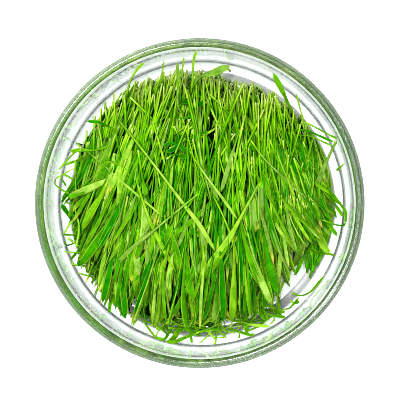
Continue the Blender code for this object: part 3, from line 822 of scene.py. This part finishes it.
curled_leaves = [
    ([(-11, 75), (-6.5, 71), (-0.5, 69.5), (7, 73.5)], 1.6, 3.2, 0.05),
    ([(-9, 65.5), (-3.5, 68), (3, 66), (8, 69.5)], 1.4, 2.6, 0.1),
    ([(9, 64), (3.5, 69.5), (-2, 66), (-7.5, 59)], 1.4, 2.4, 0.0),
    ([(-12, 74), (-7, 79), (-1, 78), (4, 73)], 1.6, 3.6, 0.0),
    ([(4, 62), (-1, 67), (-6, 71), (-12, 70)], 1.6, 3.8, 0.12),
    ([(-4, 74), (2, 70), (8, 70), (13, 74)], 1.6, 4.2, 0.05),
    ([(14, 64), (9, 67), (3, 73), (-2, 80)], 1.4, 3.4, 0.2),
    ([(-15, 58), (-10, 62), (-3, 60), (3, 63)], 1.4, 3.2, 0.0),
    ([(-22, 62), (-18, 66), (-12, 66), (-8, 62)], 1.4, 3.0, 0.1),
    ([(-16, 47), (-13, 40), (-15, 34), (-20, 31)], 1.4, 3.0, 0.0),
    ([(-9, 40), (-13, 36), (-18, 37), (-22, 34)], 1.3, 2.8, 0.15),
    ([(-5, 47), (-10, 43), (-12, 37), (-9, 31)], 1.3, 2.6, 0.05),
    ([(-20, 27), (-15, 30), (-10, 28), (-6, 31)], 1.2, 2.4, 0.1),
    ([(-13, 52), (-9, 47), (-10, 41)], 1.2, 2.6, 0.2),
]
placed("curled_leaves", curled_leaves, "grass_heap", 5.5)

# %% [markdown]
# Round the edge single blades leave the heap, rise and lean against the glass, or bend over in the air
# beside it. Their points have three numbers, the last of which is the height.

# %% Blades that lean out to the glass
leaning_blades = [
    ([(-6.5, 66, 57), (-5, 72, 58), (-3.5, 86.5, 62), (-1.5, 92, 64)], 1.3, 1.8, 0.8),
    ([(-48, 62, 50), (-44, 74, 54), (-39, 81, 57), (-33.5, 85.5, 60)], 1.3, 1.8, 0.78),
    ([(-26, 68.5, 50), (-23, 81, 58), (-21.5, 86.5, 60)], 1.0, 1.3, 0.85),
    ([(-10, 54.5, 56), (-13.5, 60, 59), (-13, 75, 60), (-13.5, 85.5, 61)], 1.7, 2.0, 0.97),
    ([(-14.5, 69, 57), (-10, 83.5, 60), (-9.5, 88.5, 62)], 1.0, 1.3, 0.8),
    ([(-8, 67, 36), (-1, 76.5, 52), (7.5, 79.5, 56), (18.5, 83.5, 56)], 1.0, 4.6, 1.0),
    ([(-54, 37, 48), (-65, 33, 46), (-74, 33, 45), (-80.5, 32, 45)], 1.5, 2.6, 0.62),
    ([(-74, 33, 45), (-79.5, 30, 43), (-88.5, 20.5, 40)], 0.9, 1.1, 0.7),
    ([(-78, 22, 42), (-90.5, 14.5, 42), (-88, 9.5, 40), (-81, 5.5, 38)], 0.8, 1.1, 0.7),
    ([(-87.4, 17.2, 42.3), (-83.5, 10.5, 40)], 0.9, 1.1, 0.2),
    ([(-50, 44, 37), (-59, 48.5, 46), (-62.5, 50, 49), (-69.5, 50.5, 50)], 1.2, 2.2, 0.12),
    ([(-68, 14.5, 44), (-71.5, -1, 34), (-74, -12, 28)], 1.2, 2.0, 0.8),
    ([(-75.5, -20.5, 20), (-79.5, -15.5, 24), (-84.5, -5.5, 30), (-87.5, -0.5, 32)], 1.0, 3.2, 0.1),
    ([(-76.5, -18, 24), (-79, -12, 28), (-81.5, -5, 32)], 0.9, 1.8, 0.15),
    ([(-64.5, 9.5, 44), (-76, 5.5, 40), (-82.5, 4, 39)], 1.3, 3.2, 0.45),
    ([(-76.5, -19.5, 22), (-81, -20, 24), (-88, -19.5, 26)], 0.9, 1.4, 0.4),
    ([(-74.5, -23, 20), (-84.5, -26.5, 20), (-89.5, -27.5, 20), (-90.5, -25, 21)], 0.9, 1.3, 0.4),
    ([(61.5, 48, 48), (56, 59, 52), (50.5, 69, 55), (45, 79, 58)], 1.3, 3.4, 0.55),
    ([(65.5, 46.5, 46), (62, 56, 52), (59, 67, 56)], 0.8, 1.0, 0.8),
    ([(64.5, 50, 48), (73.5, 45, 52), (81, 40.5, 56), (85, 39.5, 57)], 1.0, 1.4, 0.6),
    ([(56, 46, 31), (65.5, 45, 44), (75, 40.5, 50), (81.5, 37.5, 53)], 1.2, 1.6, 0.2),
    ([(58, 43, 30), (68, 41.5, 42), (77, 37, 49), (81, 35, 52)], 0.9, 1.2, 0.75),
    ([(84.5, 39, 57), (81.5, 33.5, 54), (76, 20.5, 44), (73.5, 11, 36)], 1.5, 3.6, 0.92),
    ([(89, 24.5, 50), (84, 20, 47)], 0.9, 1.6, 0.5),
    ([(76.5, 17, 34), (81, 8.5, 36), (89, -3, 38), (95.5, -13.5, 40)], 1.3, 2.0, 0.5),
    ([(77.5, 9.5, 32), (83.5, 0, 34), (89, -8.5, 36)], 1.2, 2.2, 0.5),
    ([(76.5, -10.5, 26), (85, -13.5, 30), (90.5, -14, 33), (94.5, -13, 35)], 1.0, 1.6, 0.3),
    ([(72.5, -3, 28), (79.5, -12, 26), (86, -20.5, 24)], 1.4, 2.6, 0.45),
    ([(71.5, -10, 28), (77.5, -15.5, 26), (82, -20.5, 24)], 1.2, 1.4, 1.0),
    ([(68, -29, 20), (74, -31.5, 20), (80.5, -32, 22), (87.5, -33.5, 24)], 1.0, 1.5, 0.6),
    ([(72.5, -23, 20), (66, -33.5, 16), (59.5, -46, 12)], 1.3, 2.6, 0.4),
    ([(62.5, -63.5, 8), (67, -61, 12), (74.5, -54.5, 18), (82, -48.5, 24)], 1.1, 1.6, 0.6),
]
placed("leaning_blades", leaning_blades, "grass_heap", from_heap=True)

# %% [markdown]
# At the front, short blades have slipped off the heap and lie across each other on the floor of the bowl.
# The larger of them are listed one by one and the small ones are strewn at random among them. At the left
# small bent ones stick out of the heap's edge.

# %% Blades that have fallen beside the heap
fallen_blades = [
    ([(7, -80.5, 16), (-1, -82, 17), (-10, -85, 20), (-23.5, -90.5, 26)], 1.6, 2.4, 0.6),
    ([(-13.5, -59, 16), (-12.5, -71.5, 14), (-15, -82, 18), (-21.5, -89, 24)], 1.8, 3.4, 0.62),
    ([(-13.5, -78, 12), (-1, -79, 12), (10.5, -74.5, 14), (24.5, -66.5, 17), (32.5, -60.5, 20)],
     1.6, 2.6, 0.35),
    ([(2, -76, 10), (13, -78.5, 11), (24.5, -82, 14), (35, -85, 18)], 1.3, 1.9, 0.5),
    ([(-1, -81, 9), (12, -81, 10), (22, -83, 12)], 1.0, 1.2, 0.85),
    ([(28.5, -63.5, 18), (28.5, -71, 15), (29, -83, 13)], 1.6, 3.4, 0.45),
    ([(19.5, -65.5, 16), (26.5, -65.5, 17), (31, -67, 17), (40, -63.5, 16)], 1.0, 1.3, 0.8),
    ([(31, -76.5, 10), (39, -74.5, 12), (49, -70, 14)], 1.1, 1.7, 0.45),
    ([(30, -81.5, 12), (36, -78.5, 13), (46, -70.5, 15)], 1.1, 1.8, 0.5),
    ([(38.5, -59, 14), (39.5, -68, 12), (40.5, -76.5, 10)], 1.4, 2.8, 0.5),
    ([(45, -59, 12), (46.5, -71.5, 10), (46.5, -81.5, 12)], 0.9, 1.1, 0.8),
    ([(50, -51.5, 14), (49.5, -65, 11), (50.5, -73.5, 10)], 1.4, 2.8, 0.55),
    ([(51.5, -68.5, 10), (57.5, -66.5, 10), (64.5, -62.5, 9)], 1.0, 1.4, 0.55),
    ([(57, -62, 10), (61.5, -66, 10), (68, -68, 12)], 1.2, 2.2, 0.4),
    ([(-40.5, -69.5, 12), (-35.5, -77.5, 14), (-29, -85.5, 18)], 1.0, 1.5, 0.75),
    ([(-37.5, -75, 12), (-29.5, -77.5, 13), (-21.5, -83.5, 15)], 1.0, 1.5, 0.5),
    ([(-24, -77, 12), (-28.5, -83.5, 15), (-29.5, -88, 19)], 0.9, 1.3, 0.9),
    ([(-16.5, -73.5, 12), (-20, -82, 16), (-24, -86.5, 20), (-30, -85.5, 20)], 1.2, 1.9, 0.5),
    ([(-10, -81, 12), (-5, -79.5, 12), (3, -74.5, 12), (7, -71, 12)], 1.0, 1.6, 0.6),
    ([(-21.5, -73.5, 10), (-26.5, -81, 12), (-31.5, -76, 12)], 1.0, 1.5, 0.8),
    ([(24.5, -81.5, 14), (24, -86, 16)], 0.9, 1.2, 0.5),
]
placed("fallen_blades_fine", fallen_blades, "fallen_blades")


def scattered(count, from_deg, to_deg, radii, heights):
    """Rows for placed(): short bent blades that lie round the heap at any angle to it. Each is an arc of
    three points: a middle, and two ends half a length away that are moved aside."""
    rows = []
    for _ in range(count):
        place = np.radians(rng.uniform(from_deg, to_deg))
        middle = rng.uniform(*radii) * np.array([np.cos(place), np.sin(place)])
        way = place + np.pi / 2 + rng.normal(0.0, 0.7)
        half = rng.uniform(6.0, 17.0) * np.array([np.cos(way), np.sin(way)])
        bend = rng.normal(0.0, 0.22) * np.array([-half[1], half[0]])
        z = rng.uniform(*heights)
        rise = rng.normal(0.0, 2.0)
        start, end = middle - half + bend, middle + half + bend
        points = [(*start, z - rise), (*middle, z + 1.0), (*end, z + rise)]
        rows.append((points, rng.uniform(0.8, 1.4), rng.uniform(1.0, 2.4), rng.uniform(0.45, 0.92)))
    return rows


placed("fallen_blades_loose", scattered(70, 240.0, 304.0, (71.0, 83.0), (8.0, 17.0)), "fallen_blades")
placed("bent_blades_at_the_left", scattered(26, 150.0, 222.0, (74.0, 82.0), (14.0, 31.0)), "grass_heap")

# %% [markdown]
# The bowl itself comes last, round them all. Real glass throws a faint shadow with bright lines in it. Here
# it lets the light through unhindered, because a shadow worked out without those lines is far too dark.

# %% The bowl
points, faces = turned(bowl_outline, BOWL_STEPS)
bowl = piece_from("turned_glass_bowl", points, faces, glass, "glass_bowl")
bowl.visible_shadow = False

# %% [markdown]
# The room is plain: a pale table, soft light from all round, a lamp at the upper left that stands for a
# window and gives the blades their bright and dark sides, and a weaker, larger one opposite, as a white
# wall throws back. The walls are darker towards the table, which draws dark lines in the rim of the glass.

# %% Table and light
WALLS = [(0.0, "#202020"), (0.15, "#505050"), (0.45, "#f0f0f0"), (1.0, "#ffffff")]

bpy.ops.mesh.primitive_plane_add(size=4.0, location=(0, 0, 0))
table = bpy.context.object
table.name = "white_table"
paint, tree, shader = new_material("white_table_paint", Base_Color=linear("#c2c2c2"), Roughness=0.6)
table.data.materials.append(paint)

world = bpy.data.worlds.new("soft_room")
world.use_nodes = True
sky = world.node_tree
direction = node(sky, "TexCoord").outputs["Generated"]
upward = node(sky, "SeparateXYZ", {"Vector": direction}).outputs["Z"]
walls = node(sky, "ValToRGB", {0: upward}, WALLS)
sky.links.new(walls.outputs[0], sky.nodes["Background"].inputs["Color"])
sky.nodes["Background"].inputs["Strength"].default_value = 0.6
bpy.context.scene.world = world


def soft_lamp(name, place, aim, size, power):
    """A square area lamp at place, turned towards aim."""
    data = bpy.data.lights.new(name, "AREA")
    data.size = size
    data.energy = power
    lamp = bpy.data.objects.new(name, data)
    lamp.location = place
    lamp.rotation_euler = (Vector(aim) - Vector(place)).to_track_quat("-Z", "Y").to_euler()
    bpy.context.scene.collection.objects.link(lamp)


soft_lamp("window", (-0.25, 0.3, 1.25), (0, 0, 0.03), 0.4, 11.0)
soft_lamp("white_wall", (0.2, -0.4, 1.1), (0, 0, 0.03), 0.8, 5.8)
print("lamps:", sorted(light.name for light in bpy.data.lights))

# %% [markdown]
# The camera looks straight down from 0.9 m over the rim, a little beside the middle. Its lens is set so that
# the picture is 241.6 mm wide at the height of the rim. Light may pass the glass many times, because it runs
# round inside the rim before it comes out, and the rim is black without it.

# %% Camera and view
SENSOR = 36.0
PICTURE_WIDTH = 241.6
RIM_DISTANCE = 900.0
BOUNCES = 64

camera_data = bpy.data.cameras.new("camera")
camera_data.sensor_width = SENSOR
camera_data.lens = SENSOR / PICTURE_WIDTH * RIM_DISTANCE
camera = bpy.data.objects.new("camera", camera_data)
camera.location = (0.0238, -0.0062, 0.966)
aim = Vector((0.0005, 0.00175, 0.066))
back = (camera.location - aim).normalized()
right = Vector((0, 1, 0)).cross(back).normalized()
camera.rotation_euler = Matrix((right, back.cross(right), back)).transposed().to_euler()
bpy.context.scene.collection.objects.link(camera)
bpy.context.scene.camera = camera
bpy.context.scene.view_settings.view_transform = "Standard"
bpy.context.scene.view_settings.look = "High Contrast"
for kind in ("max_bounces", "transmission_bounces", "glossy_bounces"):
    setattr(bpy.context.scene.cycles, kind, BOUNCES)
bpy.context.scene.cycles.filter_width = 0.9
print("lens:", round(camera_data.lens, 1), "mm")
